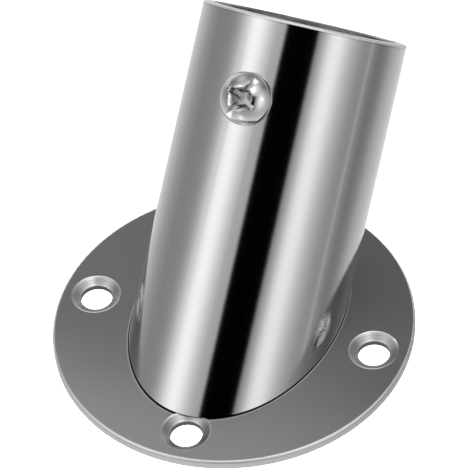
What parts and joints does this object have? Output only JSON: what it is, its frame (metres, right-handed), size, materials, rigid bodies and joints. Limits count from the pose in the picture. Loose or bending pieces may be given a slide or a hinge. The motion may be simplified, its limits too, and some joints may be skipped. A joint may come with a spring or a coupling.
{
  "type": "shower rod flange",
  "caption": "Round wall plate with a slanted tube socket and a locking screw, which holds the end of a round shower rod.",
  "frame": {"origin": "centre of the plate's back face, which lies against the wall", "axes": "+Z points out of the wall; the middle screw hole is on -X and the tube leans towards +X, turned 4.3 degrees towards -Y; the two side screw holes are on +Y and -Y"},
  "size_m": [0.0668, 0.0506, 0.0408],
  "materials": {
    "plate_steel": "satin stainless steel",
    "tube_steel": "polished stainless steel with fine cross brushing",
    "weld_metal": "ground weld",
    "screw_steel": "bright stainless steel"
  },
  "bodies": {
    "flange": {"base_plate": "plate_steel", "socket_tube": "tube_steel", "weld_seam": "weld_metal"},
    "screw": {"lock_screw": "screw_steel"}
  },
  "joints": [
    {"name": "screw_slide", "type": "slide", "parent": "flange", "child": "screw", "axis": [-0.6982, 0.1224, 0.7054], "range_m": [-0.00035, 0.0014]}
  ]
}
